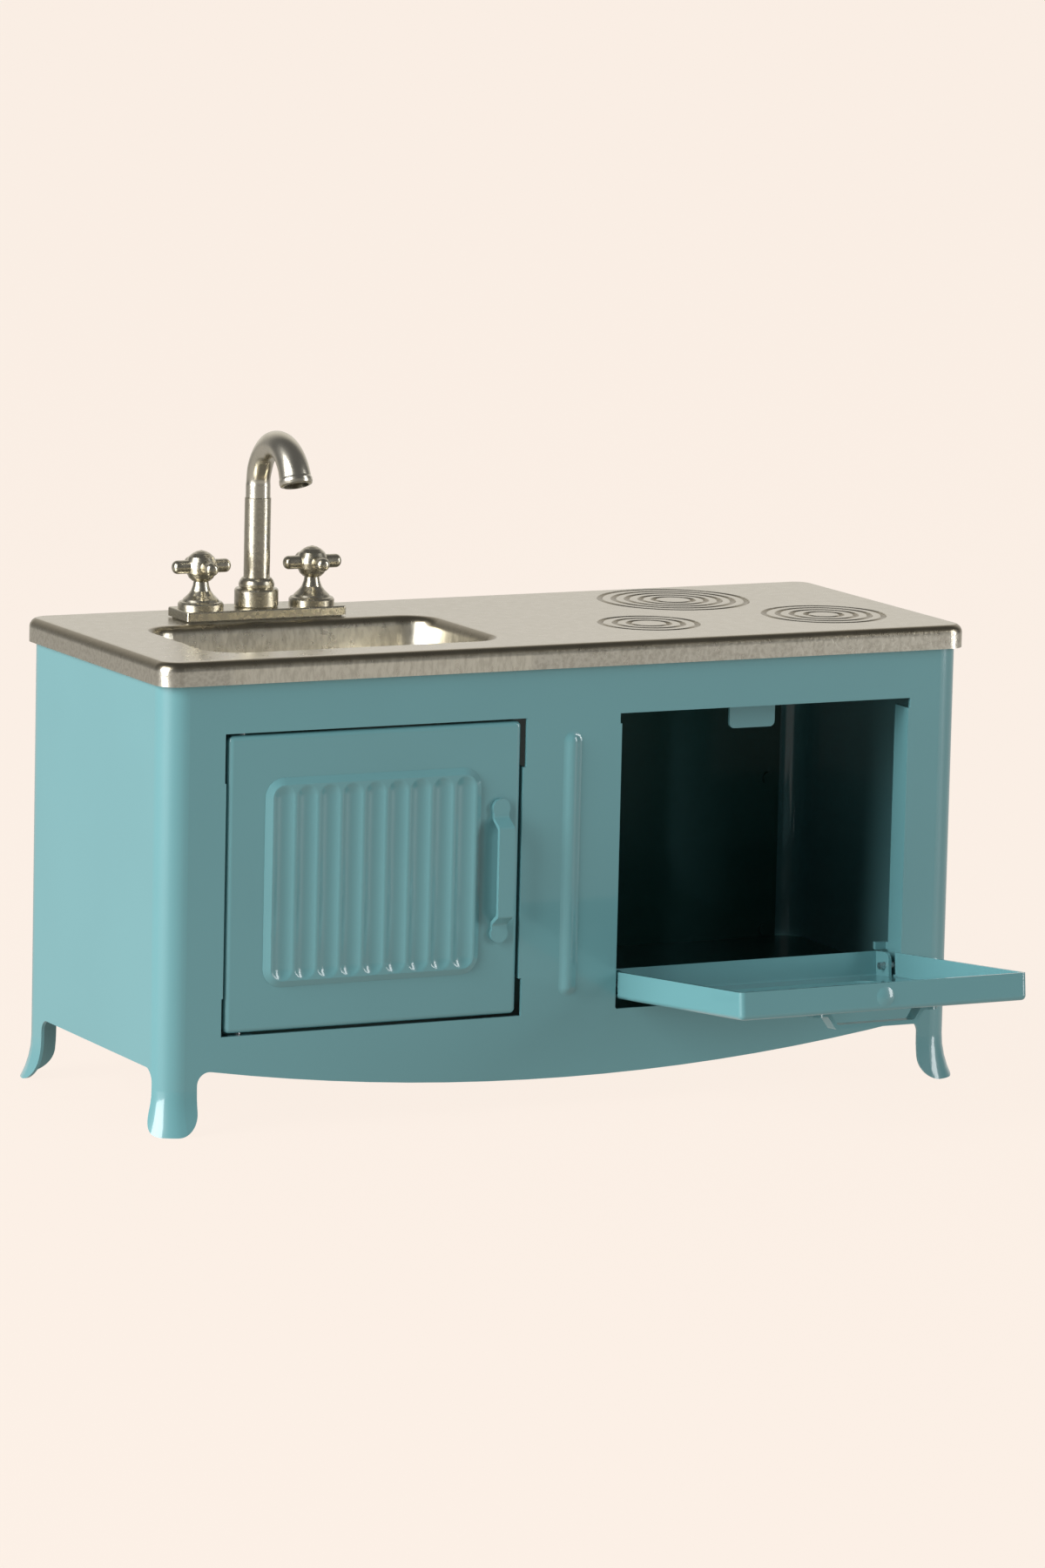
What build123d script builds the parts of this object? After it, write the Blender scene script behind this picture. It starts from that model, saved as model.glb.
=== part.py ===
from build123d import *
import os
from math import atan2, cos, radians, sin

# Doll's-house kitchen unit in pressed sheet metal, in millimetres. +Z is up, the doors face -Y,
# and the origin is on the floor under the middle of the whole outline, oven door open.

# ---- driving dimensions ---------------------------------------------------------------------
SHEET = 0.6                     # enamelled steel sheet
CABINET_WIDTH = 163.2
CABINET_DEPTH = 62.8
CORNER_RADIUS = 4.8             # upright corners of the wrapped shell
PANEL_BOTTOM = 11.8             # lower edge of the side walls
APRON_DIP = 6.3                 # how far the front apron sags below PANEL_BOTTOM at its middle
FRONT_LEG = (7.3, 3.9)          # widths of a front leg's leaves, along X and along Y
BACK_LEG = (6.4, 8.5)
LEG_FILLET = 2.4
FOOT_HEIGHT = 8.0               # flared part of each leg
FOOT_FLARE = 2.0
FOOT_CORNER = 4.3               # rounding at the foot of each leaf
SHELL_TOP_BEND = 1.3
TOP_FLANGE = 6.0                # inward fold that carries the worktop
BACK_RETURN = 10.0              # fold of the shell round each back corner
RIVET_RADIUS = 0.8
RIVET_HEIGHTS = (18.0, 48.0, 77.0)

WORKTOP_SHEET = 0.7
WORKTOP_OVERHANG = 0.86
WORKTOP_TOP = 86.2
WORKTOP_RIM = 4.4
WORKTOP_CORNER = 4.1
WORKTOP_EDGE = 1.7

OPENING_BOTTOM = 17.6
OPENING_TOP = 72.8
CUPBOARD_LEFT = -69.5
CUPBOARD_RIGHT = -10.05
OVEN_LEFT = 10.05
OVEN_RIGHT = 70.2
DOOR_GAP = 0.46
DOOR_DEPTH = 5.1                # depth of the folded edge of a door
DOOR_BEND = 0.9
HINGE_IN = 4.05                 # hinge line to the nearest opening edge
HINGE_BACK = 2.55               # hinge line to the front face
OVEN_DOOR_ANGLE = 84.4          # from closed to its stop
PIN_RADIUS = 0.7
PIN_HEAD_RADIUS = 1.3
RUNNING_GAP = 0.05
LATCH_WIDTH = 9.5
LATCH_DROP = 4.9
DIMPLE_RADIUS = 1.8
DIMPLE_RISE = 0.33

PAD_RISE = 0.85                 # embossed panel of a door
PAD_SLOPE = 1.2
PAD_CORNER = 3.6
PAD_MARGIN = 8.0                # pad to the door's edges
FLUTE_PITCH = 4.52
FLUTE_COUNT = 9
FLUTE_CREST = 0.6
FLUTE_DEPTH = 0.6
CREST_RADIUS = 0.75

RIB_X = 0.0                     # raised rib between the two openings
RIB_WIDTH = 4.2
RIB_BOTTOM = 20.4
RIB_TOP = 70.2
RIB_RISE = 0.7

SINK_LEFT = -67.3
SINK_RIGHT = -10.7
SINK_FRONT = -22.4
SINK_BACK = 10.7
SINK_DEPTH = 9.2
SINK_CORNER = 5.6
SINK_LIP = 2.0
SINK_DRAFT = 9.0                # degrees
SINK_FLOOR_BEND = 3.0

# centre x, centre y and the radii of the pressed grooves of each hob ring
HOBS = (
    (44.4, 15.0, (3.8, 6.3, 8.9, 11.4, 14.0)),
    (62.6, -11.4, (3.4, 6.1, 8.7, 11.3)),
    (25.2, -12.0, (3.8, 6.4, 9.1)),
)
GROOVE_RADIUS = 0.75
GROOVE_DEPTH = 0.34

HANDLE_LENGTH = 26.7
HANDLE_WIDTH = 3.05
HANDLE_SHEET = 0.8
HANDLE_STAND = 3.2
HANDLE_PAD = 3.45
HANDLE_SLOPE = 1.6
HANDLE_BEND = 0.6
HANDLE_INSET = 4.1              # handle's centre line to the door's free edge
STUD_RADIUS = 0.6
STUD_LENGTH = HANDLE_SHEET / 2 + SHEET + 0.9

TAP_X = -41.5
TAP_Y = 18.0
TAP_SPREAD = 11.3
PLATE_X = -41.25
PLATE_LENGTH = 32.4
PLATE_DEPTH = 9.2
PLATE_HEIGHT = 1.65
PLATE_LIFT = 0.3
COLLAR_RADIUS = 4.1
COLLAR_HEIGHT = 3.4
COLUMN_RADIUS = 2.45
COLUMN_HEIGHT = 20.4            # plate to the seam under the neck
SPOUT_RADIUS = 2.3
OUTLET_RADIUS = 2.95
SPOUT_RISE = 2.35
SPOUT_BEND = 8.4
SPOUT_ARC = 158.0               # degrees
SPOUT_SWELL = 50.0              # degrees along the bend, from where the neck thickens
SPINDLE_RADIUS = 0.8
SPOUT_SPINDLE_RADIUS = 1.5
PEDESTAL = 5.2                  # plate to the underside of a tap's hub
SCREW_RADIUS = 0.6
SCREW_SPREAD = 5.6
SCREW_GRIP = 1.45               # depth of the screw holes above the worktop
WASHER_HEIGHT = 0.35
ARM_REACH = 5.8
ARM_RADIUS = 1.27

# ---- derived places ---------------------------------------------------------------------------
FRONT = -CABINET_DEPTH / 2
BACK = CABINET_DEPTH / 2
SIDE = CABINET_WIDTH / 2
UNDERSIDE = WORKTOP_TOP - WORKTOP_SHEET
LEG_X = SIDE - FRONT_LEG[0]
FLOOR_TOP = OPENING_BOTTOM - 0.9
OVEN_PIVOT = (FRONT + HINGE_BACK, OPENING_BOTTOM + HINGE_IN)
CUPBOARD_PIVOT = (CUPBOARD_LEFT + HINGE_IN, FRONT + HINGE_BACK)
PLATE_TOP = WORKTOP_TOP + PLATE_LIFT + PLATE_HEIGHT
SEAM = PLATE_TOP + COLUMN_HEIGHT
SPINDLE_END = UNDERSIDE - 1.6
NUT_TOP = UNDERSIDE - 0.3
CLEAR = 1.0                     # how far a cutter runs past what it cuts


def block(x0, x1, y0, y1, z0, z1):
    """Box between two corners."""
    middle = Location(((x0 + x1) / 2, (y0 + y1) / 2, (z0 + z1) / 2))
    return middle * Box(x1 - x0, y1 - y0, z1 - z0)


def rounded_prism(width, depth, radius, z0, z1):
    """Upright prism of a rounded rectangle about the cabinet's centre."""
    outline = Pos(0, 0, z0) * RectangleRounded(width, depth, radius)
    return extrude(outline, amount=z1 - z0)


def rod(start, direction, radius, length):
    """Round bar from a point along a direction."""
    plane = Plane(origin=start, z_dir=direction)
    return extrude(plane * Circle(radius), amount=length)


def turned(points, x, y):
    """Solid turned about an upright axis from (radius, height) points."""
    profile = make_face(Polyline(*[(r, 0, z) for r, z in points], close=True))
    return Pos(x, y, 0) * revolve(profile, Axis.Z)


# ---- cabinet shell ----------------------------------------------------------------------------
def foot_section(flare, z):
    """Level cut through the front right foot, spread outward by flare."""
    centre_x = SIDE - CORNER_RADIUS
    centre_y = FRONT + CORNER_RADIUS
    leaf = max(FRONT_LEG + BACK_LEG)

    def edge(offset):
        radius = CORNER_RADIUS + offset
        start = (SIDE - leaf, centre_y - radius, z)
        bend = (centre_x, centre_y - radius, z)
        middle = (centre_x + radius * sin(radians(45)), centre_y - radius * cos(radians(45)), z)
        turn = (centre_x + radius, centre_y, z)
        end = (centre_x + radius, FRONT + leaf, z)
        return start, bend, middle, turn, end

    outer = edge(flare)
    inner = edge(flare - SHEET)
    return make_face([
        Line(outer[0], outer[1]), ThreePointArc(outer[1], outer[2], outer[3]),
        Line(outer[3], outer[4]), Line(outer[4], inner[4]), Line(inner[4], inner[3]),
        ThreePointArc(inner[3], inner[2], inner[1]), Line(inner[1], inner[0]),
        Line(inner[0], outer[0]),
    ])


def leaf_outline(half, width):
    """Outline of one leaf of a foot, seen square on: its inner lower corner is rounded."""
    inner = half - width
    outer = half + 2 * FOOT_FLARE
    outline = Pos((inner + outer) / 2, FOOT_HEIGHT / 2) * Rectangle(outer - inner, FOOT_HEIGHT)
    corner = outline.vertices().sort_by(Axis.X)[:2].sort_by(Axis.Y)[0]
    return fillet(corner, FOOT_CORNER)


def foot(leg):
    """Foot at the front right corner: the wall's corner flared outward and rounded like a tongue."""
    steps = 5
    sections = []
    for step in range(steps):
        drop = step / (steps - 1)
        sections.append(foot_section(FOOT_FLARE * drop ** 2, FOOT_HEIGHT * (1 - drop)))
    flared = loft(sections)
    across, along = leg
    flared &= extrude(Plane.XZ * leaf_outline(SIDE, across), amount=CABINET_WIDTH, both=True)
    sideways = extrude(Plane.YZ * leaf_outline(BACK, along), amount=CABINET_WIDTH, both=True)
    return flared & sideways.mirror(Plane.XZ)


def apron_cutter():
    """Space under the front apron, between the two front legs: one long arc with rounded ends."""
    bottom = Line((-LEG_X, -CLEAR), (LEG_X, -CLEAR))
    right = Line((LEG_X, -CLEAR), (LEG_X, PANEL_BOTTOM))
    dip = ThreePointArc((LEG_X, PANEL_BOTTOM), (0, PANEL_BOTTOM - APRON_DIP), (-LEG_X, PANEL_BOTTOM))
    left = Line((-LEG_X, PANEL_BOTTOM), (-LEG_X, -CLEAR))
    outline = make_face([bottom, right, dip, left])
    corners = outline.vertices().group_by(Axis.Y)[-1]
    outline = fillet(corners, LEG_FILLET)
    return extrude(Plane.XZ.offset(-FRONT - CLEAR) * outline, amount=2 * CLEAR + CORNER_RADIUS)


def side_cutter():
    """Space under both side walls, between the front and back legs."""
    front = FRONT + FRONT_LEG[1]
    back = BACK - BACK_LEG[1]
    middle = Pos((front + back) / 2, (PANEL_BOTTOM - CLEAR) / 2)
    outline = middle * Rectangle(back - front, PANEL_BOTTOM + CLEAR)
    outline = fillet(outline.vertices().group_by(Axis.Y)[-1], LEG_FILLET)
    return extrude(Plane.YZ * outline, amount=CABINET_WIDTH, both=True)


def side_flanges(left, right, relief):
    """Folded edges at both sides of an opening, cut short above and below by the relief."""
    top = OPENING_TOP - relief
    back = FRONT + DOOR_DEPTH
    return (block(left - SHEET, left, FRONT, back, OPENING_BOTTOM, top)
            + block(right, right + SHEET, FRONT, back, OPENING_BOTTOM, top))


def oven_stops():
    """Ears at the back of the oven's side flanges, which catch the open door's lower flange."""
    lug_back = FRONT + HINGE_BACK + HINGE_IN + 0.2
    low = OVEN_PIVOT[1] + HINGE_BACK - 0.1
    high = low + 1.4
    reach = 2.2
    flange_back = FRONT + DOOR_DEPTH
    ears = Part()
    for inner, side in ((OVEN_LEFT, 1), (OVEN_RIGHT, -1)):
        outer = inner - side * SHEET
        ears += block(min(outer, inner), max(outer, inner), flange_back - SHEET, lug_back, low, high)
        tip = inner + side * reach
        ears += block(min(outer, tip), max(outer, tip), lug_back - SHEET - 0.3, lug_back, low, high)
    return ears


def oven_latch():
    """Tab folded in from the oven opening's upper edge, then down behind the door's flange."""
    centre = (OVEN_LEFT + OVEN_RIGHT) / 2
    left = centre - LATCH_WIDTH / 2
    right = centre + LATCH_WIDTH / 2
    front = FRONT + DOOR_DEPTH + 0.5
    shelf = block(left, right, FRONT, front + SHEET, OPENING_TOP, OPENING_TOP + SHEET)
    leaf = block(left, right, front, front + SHEET, OPENING_TOP - LATCH_DROP, OPENING_TOP)
    leaf = fillet(leaf.edges().filter_by(Axis.Y).group_by(Axis.Z)[0], 1.0)
    tab = shelf + leaf
    bend = tab.edges().filter_by(Axis.X).group_by(Axis.Z)[-1].sort_by(Axis.Y)[-1]
    return fillet(bend, 0.5)


def cupboard_ears():
    """Ears folded in at the top and bottom of the cupboard opening, which hold the hinge pins."""
    x, y = CUPBOARD_PIVOT
    half = 2.4
    ears = Part()
    for z in (OPENING_BOTTOM - SHEET, OPENING_TOP):
        ear = block(x - half, x + half, FRONT, y + half, z, z + SHEET)
        ears += fillet(ear.edges().filter_by(Axis.Z).group_by(Axis.Y)[-1], 1.6)
    return ears


def opening_cutter(left, right):
    """The hole in the front for one door."""
    hole = block(left, right, FRONT - CLEAR, FRONT + CORNER_RADIUS / 2, OPENING_BOTTOM, OPENING_TOP)
    return fillet(hole.edges().filter_by(Axis.Y), 0.4)


def cupboard_reliefs():
    """Shallow notches in the upright edges of the cupboard opening, at the ends of its flange."""
    deep = 0.6
    shallow = 0.25
    upper = 9.0
    lower = 7.0
    before = FRONT - CLEAR
    behind_flange = FRONT + DOOR_DEPTH + CLEAR
    cut = Part()
    for z0, z1 in ((OPENING_TOP - upper, OPENING_TOP), (OPENING_BOTTOM, OPENING_BOTTOM + lower)):
        cut += block(CUPBOARD_RIGHT - CLEAR, CUPBOARD_RIGHT + deep, before, behind_flange, z0, z1)
        cut += block(CUPBOARD_LEFT - shallow, CUPBOARD_LEFT + CLEAR, before, FRONT + CLEAR, z0, z1)
    return cut


def oven_reliefs():
    """Corner notches that free the oven's side flanges from the front above them."""
    wide = 0.35
    high = 1.9
    cut = Part()
    for x0, x1 in ((OVEN_LEFT - wide, OVEN_LEFT + CLEAR), (OVEN_RIGHT - CLEAR, OVEN_RIGHT + wide)):
        cut += block(x0, x1, FRONT - CLEAR, FRONT + CLEAR, OPENING_TOP - high, OPENING_TOP)
    return cut


def rib_bead(front, back):
    """Long bead that rises in front of one level and reaches back to another, blended all round."""
    half = RIB_WIDTH / 2
    tilt = 2 * atan2(RIB_RISE, half)
    radius = half / 2 / sin(tilt)
    across = radius * sin(tilt / 2)
    drop = radius * (1 - cos(tilt / 2))
    crest = front - RIB_RISE
    middle = (half / 2, front - RIB_RISE / 2)
    section = make_face([
        ThreePointArc((0, crest), (across, crest + drop), middle),
        ThreePointArc(middle, (half - across, front - drop), (half, front)),
        Line((half, front), (half, back)), Line((half, back), (0, back)), Line((0, back), (0, crest)),
    ])
    bar = extrude(section, amount=RIB_TOP - RIB_BOTTOM - RIB_WIDTH)
    bar += bar.mirror(Plane.YZ)
    cap = revolve(section, Axis.Y)
    low = Pos(RIB_X, 0, RIB_BOTTOM + half)
    high = Pos(RIB_X, 0, RIB_TOP - half)
    return low * bar + low * cap + high * cap


def back_rivet_places():
    """(x, z) of the rivets that hold the back panel."""
    x = SIDE - BACK_RETURN + 2.6
    return [(side * x, z) for side in (-1, 1) for z in RIVET_HEIGHTS]


def wrapped_wall():
    """Closed wall of the cabinet down to the flared feet, with its top edge folded inward."""
    outer = rounded_prism(CABINET_WIDTH, CABINET_DEPTH, CORNER_RADIUS, FOOT_HEIGHT, UNDERSIDE)
    outer = fillet(outer.faces().sort_by(Axis.Z)[-1].edges(), SHELL_TOP_BEND)
    width = CABINET_WIDTH - 2 * SHEET
    depth = CABINET_DEPTH - 2 * SHEET
    inner = rounded_prism(width, depth, CORNER_RADIUS - SHEET, 0, UNDERSIDE - SHEET)
    inner = fillet(inner.faces().sort_by(Axis.Z)[-1].edges(), SHELL_TOP_BEND - SHEET)
    fold = 2 * TOP_FLANGE
    mouth = rounded_prism(CABINET_WIDTH - fold, CABINET_DEPTH - fold, 2.0, 0, WORKTOP_TOP)
    return outer - inner - mouth


def cabinet_shell():
    """Front, side walls, back returns, legs and feet, in one wrapped sheet."""
    shell = wrapped_wall()
    half = SIDE - BACK_RETURN
    shell -= block(-half, half, BACK - TOP_FLANGE - CLEAR, BACK + CLEAR, PANEL_BOTTOM, WORKTOP_TOP)
    half = SIDE - BACK_LEG[0]
    shell -= block(-half, half, BACK - CORNER_RADIUS / 2, BACK + CLEAR, 0, PANEL_BOTTOM)
    shell -= apron_cutter()
    shell -= side_cutter()
    for piece in (foot(FRONT_LEG), foot(BACK_LEG).mirror(Plane.XZ)):
        shell += piece
        shell += piece.mirror(Plane.YZ)
    apron = block(-LEG_X, LEG_X, FRONT, FRONT + SHEET, 0, FOOT_HEIGHT) - apron_cutter()
    shell += apron
    shell -= opening_cutter(CUPBOARD_LEFT, CUPBOARD_RIGHT)
    shell -= opening_cutter(OVEN_LEFT, OVEN_RIGHT)
    shell += side_flanges(OVEN_LEFT, OVEN_RIGHT, 1.9)
    cupboard_flange = side_flanges(CUPBOARD_LEFT, CUPBOARD_RIGHT, 0)
    shell += cupboard_flange & block(CUPBOARD_RIGHT - CLEAR, 0, FRONT, BACK, 0, WORKTOP_TOP)
    shell -= cupboard_reliefs()
    shell -= oven_reliefs()
    shell += oven_stops()
    shell += oven_latch()
    shell += cupboard_ears()
    sunk = 0.02
    shell += rib_bead(FRONT + sunk, FRONT + SHEET / 2)
    shell -= rib_bead(FRONT + SHEET, FRONT + SHEET + CLEAR)
    for x, z in back_rivet_places():
        shell -= rod((x, BACK + CLEAR, z), (0, -1, 0), RIVET_RADIUS, 2 * CLEAR + SHEET)
    y, z = OVEN_PIVOT
    shell -= rod((OVEN_LEFT - CLEAR, y, z), (1, 0, 0), PIN_RADIUS, OVEN_RIGHT - OVEN_LEFT + 2 * CLEAR)
    x, y = CUPBOARD_PIVOT
    for z in (OPENING_BOTTOM - SHEET, OPENING_TOP):
        shell -= rod((x, y, z - SHEET / 2), (0, 0, 1), PIN_RADIUS, 2 * SHEET)
    return shell


def back_panel():
    """Flat sheet that closes the back, behind the returns of the shell."""
    y = BACK - SHEET
    half = SIDE - CORNER_RADIUS - 0.1
    panel = block(-half, half, y - SHEET, y, PANEL_BOTTOM, UNDERSIDE - SHELL_TOP_BEND)
    for x, z in back_rivet_places():
        panel -= rod((x, y + CLEAR, z), (0, -1, 0), RIVET_RADIUS, 2 * CLEAR + SHEET)
    return panel


def domed_rivet(x, z):
    """Rivet through the shell's return and the back panel, with its dome outside."""
    head = RIVET_RADIUS * 1.8
    depth = 2 * SHEET + 0.5
    shank = rod((x, BACK, z), (0, -1, 0), RIVET_RADIUS - 0.02, depth)
    dome = rod((x, BACK, z), (0, 1, 0), head, 0.75)
    dome = fillet(dome.edges().sort_by(Axis.Y)[-1], 0.6)
    clinch = rod((x, BACK - 2 * SHEET, z), (0, -1, 0), head * 0.8, 0.5)
    return shank + dome + clinch


def back_panel_rivets():
    """Six rivets, three up each side of the back."""
    return [domed_rivet(x, z) for x, z in back_rivet_places()]


def floor_panel():
    """Tray floor shared by the cupboard and the oven, with its side edges turned down."""
    gap = 0.05
    half = SIDE - SHEET - gap
    front = FRONT + SHEET + gap
    back = BACK - 2 * SHEET - gap
    skirt = 4.0
    sheet = block(-half, half, front, back, FLOOR_TOP - SHEET, FLOOR_TOP)
    corners = sheet.edges().filter_by(Axis.Z).group_by(Axis.Y)
    sheet = fillet(corners[0] + corners[-1], CORNER_RADIUS - SHEET)
    straight = CORNER_RADIUS
    for side in (-1, 1):
        outer = side * half
        inner = side * (half - SHEET)
        sheet += block(min(outer, inner), max(outer, inner), front + straight, back - straight,
                       FLOOR_TOP - skirt, FLOOR_TOP - SHEET / 2)
    return sheet


# ---- worktop ----------------------------------------------------------------------------------
def basin(inset):
    """Solid that sinks the basin, grown outward and downward by inset."""
    width = SINK_RIGHT - SINK_LEFT + 2 * inset
    depth = SINK_BACK - SINK_FRONT + 2 * inset
    top = WORKTOP_TOP - inset
    centre = Pos((SINK_LEFT + SINK_RIGHT) / 2, (SINK_FRONT + SINK_BACK) / 2, top)
    outline = centre * RectangleRounded(width, depth, SINK_CORNER + inset)
    hollow = extrude(outline, amount=-SINK_DEPTH, taper=SINK_DRAFT)
    return fillet(hollow.faces().sort_by(Axis.Z)[0].edges(), SINK_FLOOR_BEND + inset)


def over_sink(edge):
    """Whether an edge lies over the basin rather than at the worktop's rim."""
    box = edge.bounding_box()
    return box.max.X < SINK_RIGHT + 3 and box.min.Y > SINK_FRONT - 3 and box.max.Y < SINK_BACK + 3


def worktop_block(inset):
    """Rounded block with the basin sunk in it, whose outer surface is inset from the worktop's."""
    width = CABINET_WIDTH + 2 * (WORKTOP_OVERHANG - inset)
    depth = CABINET_DEPTH + 2 * (WORKTOP_OVERHANG - inset)
    top = WORKTOP_TOP - inset
    low = WORKTOP_TOP - SINK_DEPTH - 8
    body = rounded_prism(width, depth, WORKTOP_CORNER - inset, low, top)
    body = fillet(body.faces().sort_by(Axis.Z)[-1].edges(), WORKTOP_EDGE - inset)
    body -= basin(inset)
    lip = body.edges().filter_by_position(Axis.Z, top - 0.01, top + 0.01)
    return fillet([edge for edge in lip if over_sink(edge)], SINK_LIP - inset)


def countertop():
    """Pressed worktop with its rim, basin and hob grooves."""
    skin = worktop_block(0) - worktop_block(WORKTOP_SHEET)
    rim_bottom = WORKTOP_TOP - WORKTOP_RIM
    everything = rounded_prism(2 * CABINET_WIDTH, 2 * CABINET_DEPTH, CORNER_RADIUS, 0, rim_bottom)
    around_sink = block(SINK_LEFT - 3, SINK_RIGHT + 3, SINK_FRONT - 3, SINK_BACK + 3, 0, rim_bottom)
    skin -= everything - around_sink
    for x, y, radii in HOBS:
        for radius in radii:
            ring = Torus(radius, GROOVE_RADIUS)
            skin -= Pos(x, y, WORKTOP_TOP + GROOVE_RADIUS - GROOVE_DEPTH) * ring
    for x in tap_spindle_places():
        radius = SPOUT_SPINDLE_RADIUS if x == TAP_X else SPINDLE_RADIUS
        skin -= rod((x, TAP_Y, WORKTOP_TOP + CLEAR), (0, 0, -1), radius + RUNNING_GAP, 3.0)
    for x in tap_screw_places():
        skin -= rod((x, TAP_Y, WORKTOP_TOP + CLEAR), (0, 0, -1), SCREW_RADIUS + 0.1, 3.0)
    return skin


# ---- doors ------------------------------------------------------------------------------------
def flute(x, z0, z1, radius, y):
    """Long round-ended bar that presses one flute."""
    bar = rod((x, y, z0), (0, 0, 1), radius, z1 - z0)
    return bar + Pos(x, y, z0) * Sphere(radius) + Pos(x, y, z1) * Sphere(radius)


def raised_panel(x0, x1, z0, z1, corner, base):
    """Rounded panel that rises in front of the level base, with sloping borders."""
    outline = Pos((x0 + x1) / 2, (z0 + z1) / 2) * RectangleRounded(x1 - x0, z1 - z0, corner)
    panel = extrude(Plane.XZ.offset(-base) * outline, amount=PAD_RISE)
    return chamfer(panel.faces().sort_by(Axis.Y)[0].edges(), PAD_RISE - 0.05, PAD_SLOPE)


def fluted_pad(x0, x1, z0, z1):
    """(raised pad, hollow behind it) of a door's embossed panel."""
    pad = raised_panel(x0, x1, z0, z1, PAD_CORNER, FRONT)
    hollow = raised_panel(x0 + SHEET, x1 - SHEET, z0 + SHEET, z1 - SHEET, PAD_CORNER - SHEET,
                          FRONT + SHEET)
    half_chord = (FLUTE_PITCH - FLUTE_CREST) / 2
    radius = (half_chord ** 2 + FLUTE_DEPTH ** 2) / (2 * FLUTE_DEPTH)
    axis_y = FRONT - PAD_RISE - (radius - FLUTE_DEPTH)
    first = (x0 + x1) / 2 - FLUTE_PITCH * (FLUTE_COUNT - 1) / 2
    low = z0 + PAD_SLOPE + 2.1
    high = z1 - PAD_SLOPE - 2.3
    for number in range(FLUTE_COUNT):
        x = first + number * FLUTE_PITCH
        pad -= flute(x, low, high, radius, axis_y)
        hollow -= flute(x, low, high, radius + SHEET, axis_y)
    crown = pad.faces().filter_by(Plane.XZ).sort_by(Axis.Y)[0]
    pad = fillet([edge for wire in crown.inner_wires() for edge in wire.edges()], CREST_RADIUS)
    return pad, hollow


def door_tray(x0, x1, z0, z1):
    """Pressed door: flat face with all four edges folded back."""
    corner = 1.0

    def body(inset, depth):
        solid = block(x0 + inset, x1 - inset, FRONT + inset, FRONT + depth, z0 + inset, z1 - inset)
        solid = fillet(solid.edges().filter_by(Axis.Y), corner - inset)
        return fillet(solid.faces().sort_by(Axis.Y)[0].edges(), DOOR_BEND - inset)

    return body(0, DOOR_DEPTH) - body(SHEET, DOOR_DEPTH + CLEAR)


def stud_holes(centre, along):
    """Holes in a door for the two studs of its handle."""
    holes = Part()
    reach = (HANDLE_LENGTH - HANDLE_PAD) / 2
    for side in (-1, 1):
        x = centre[0] + side * reach * along[0]
        z = centre[1] + side * reach * along[1]
        holes += rod((x, FRONT - CLEAR, z), (0, 1, 0), STUD_RADIUS, 2 * CLEAR + SHEET)
    return holes


def cupboard_door():
    """Side-hung door, shut."""
    x0 = CUPBOARD_LEFT + DOOR_GAP
    x1 = CUPBOARD_RIGHT - DOOR_GAP
    z0 = OPENING_BOTTOM + DOOR_GAP
    z1 = OPENING_TOP - DOOR_GAP
    hinge_side = 7.3
    pad, hollow = fluted_pad(x0 + hinge_side, x1 - PAD_MARGIN, z0 + PAD_MARGIN, z1 - PAD_MARGIN)
    door = door_tray(x0, x1, z0, z1) + pad - hollow
    x, y = CUPBOARD_PIVOT
    for z in (z0, z1 - SHEET):
        door -= rod((x, y, z - SHEET / 2), (0, 0, 1), PIN_RADIUS + RUNNING_GAP, 2 * SHEET)
    return door - stud_holes(cupboard_handle_place(), (0, 1))


def cupboard_handle_place():
    """(x, z) of the middle of the cupboard's handle."""
    return CUPBOARD_RIGHT - DOOR_GAP - HANDLE_INSET, 45.0


def oven_handle_place():
    """(x, z) of the middle of the oven's handle, with the door closed."""
    return (OVEN_LEFT + OVEN_RIGHT) / 2, OPENING_TOP - DOOR_GAP - 5.2


def hinge_lugs(x0, x1, z0):
    """Lugs that carry the oven door on its pins, set in from its side flanges."""
    reach = HINGE_IN - DOOR_GAP + 1.9
    lugs = Part()
    for outer, side in ((x0, 1), (x1, -1)):
        near = outer + side * 1.1
        far = near + side * SHEET
        lug = block(min(near, far), max(near, far), FRONT + SHEET / 2, FRONT + DOOR_DEPTH,
                    z0 + SHEET / 2, z0 + reach)
        lugs += fillet(lug.edges().filter_by(Axis.X).group_by(Axis.Z)[-1].sort_by(Axis.Y)[-1], 1.5)
    return lugs


def latch_dimple(x, z):
    """Shallow dome pressed up from the flange at height z, which rubs under the latch's shelf."""
    radius = (DIMPLE_RADIUS ** 2 + DIMPLE_RISE ** 2) / (2 * DIMPLE_RISE)
    y = FRONT + HINGE_BACK
    dome = Pos(x, y, z + DIMPLE_RISE - radius) * Sphere(radius)
    return dome & rod((x, y, z - SHEET / 2), (0, 0, 1), DIMPLE_RADIUS, SHEET + DIMPLE_RISE)


def closed_oven_door():
    """Drop-down door in its closed place."""
    x0 = OVEN_LEFT + DOOR_GAP
    x1 = OVEN_RIGHT - DOOR_GAP
    z0 = OPENING_BOTTOM + DOOR_GAP
    z1 = OPENING_TOP - DOOR_GAP
    side = 7.7
    under_handle = 9.6
    pad, hollow = fluted_pad(x0 + side, x1 - side, z0 + PAD_MARGIN, z1 - under_handle)
    door = door_tray(x0, x1, z0, z1) + pad - hollow
    shoulder = OVEN_PIVOT[1] + 2.35
    for side_x in (x0, x1):
        door -= block(side_x - SHEET, side_x + SHEET, FRONT + DOOR_BEND, FRONT + DOOR_DEPTH + CLEAR,
                      z0 + SHEET, shoulder)
    door += hinge_lugs(x0, x1, z0)
    y, z = OVEN_PIVOT
    door -= rod((x0, y, z), (1, 0, 0), PIN_RADIUS + RUNNING_GAP, x1 - x0)
    door += latch_dimple((x0 + x1) / 2, z1)
    return door - stud_holes(oven_handle_place(), (1, 0))


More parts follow.
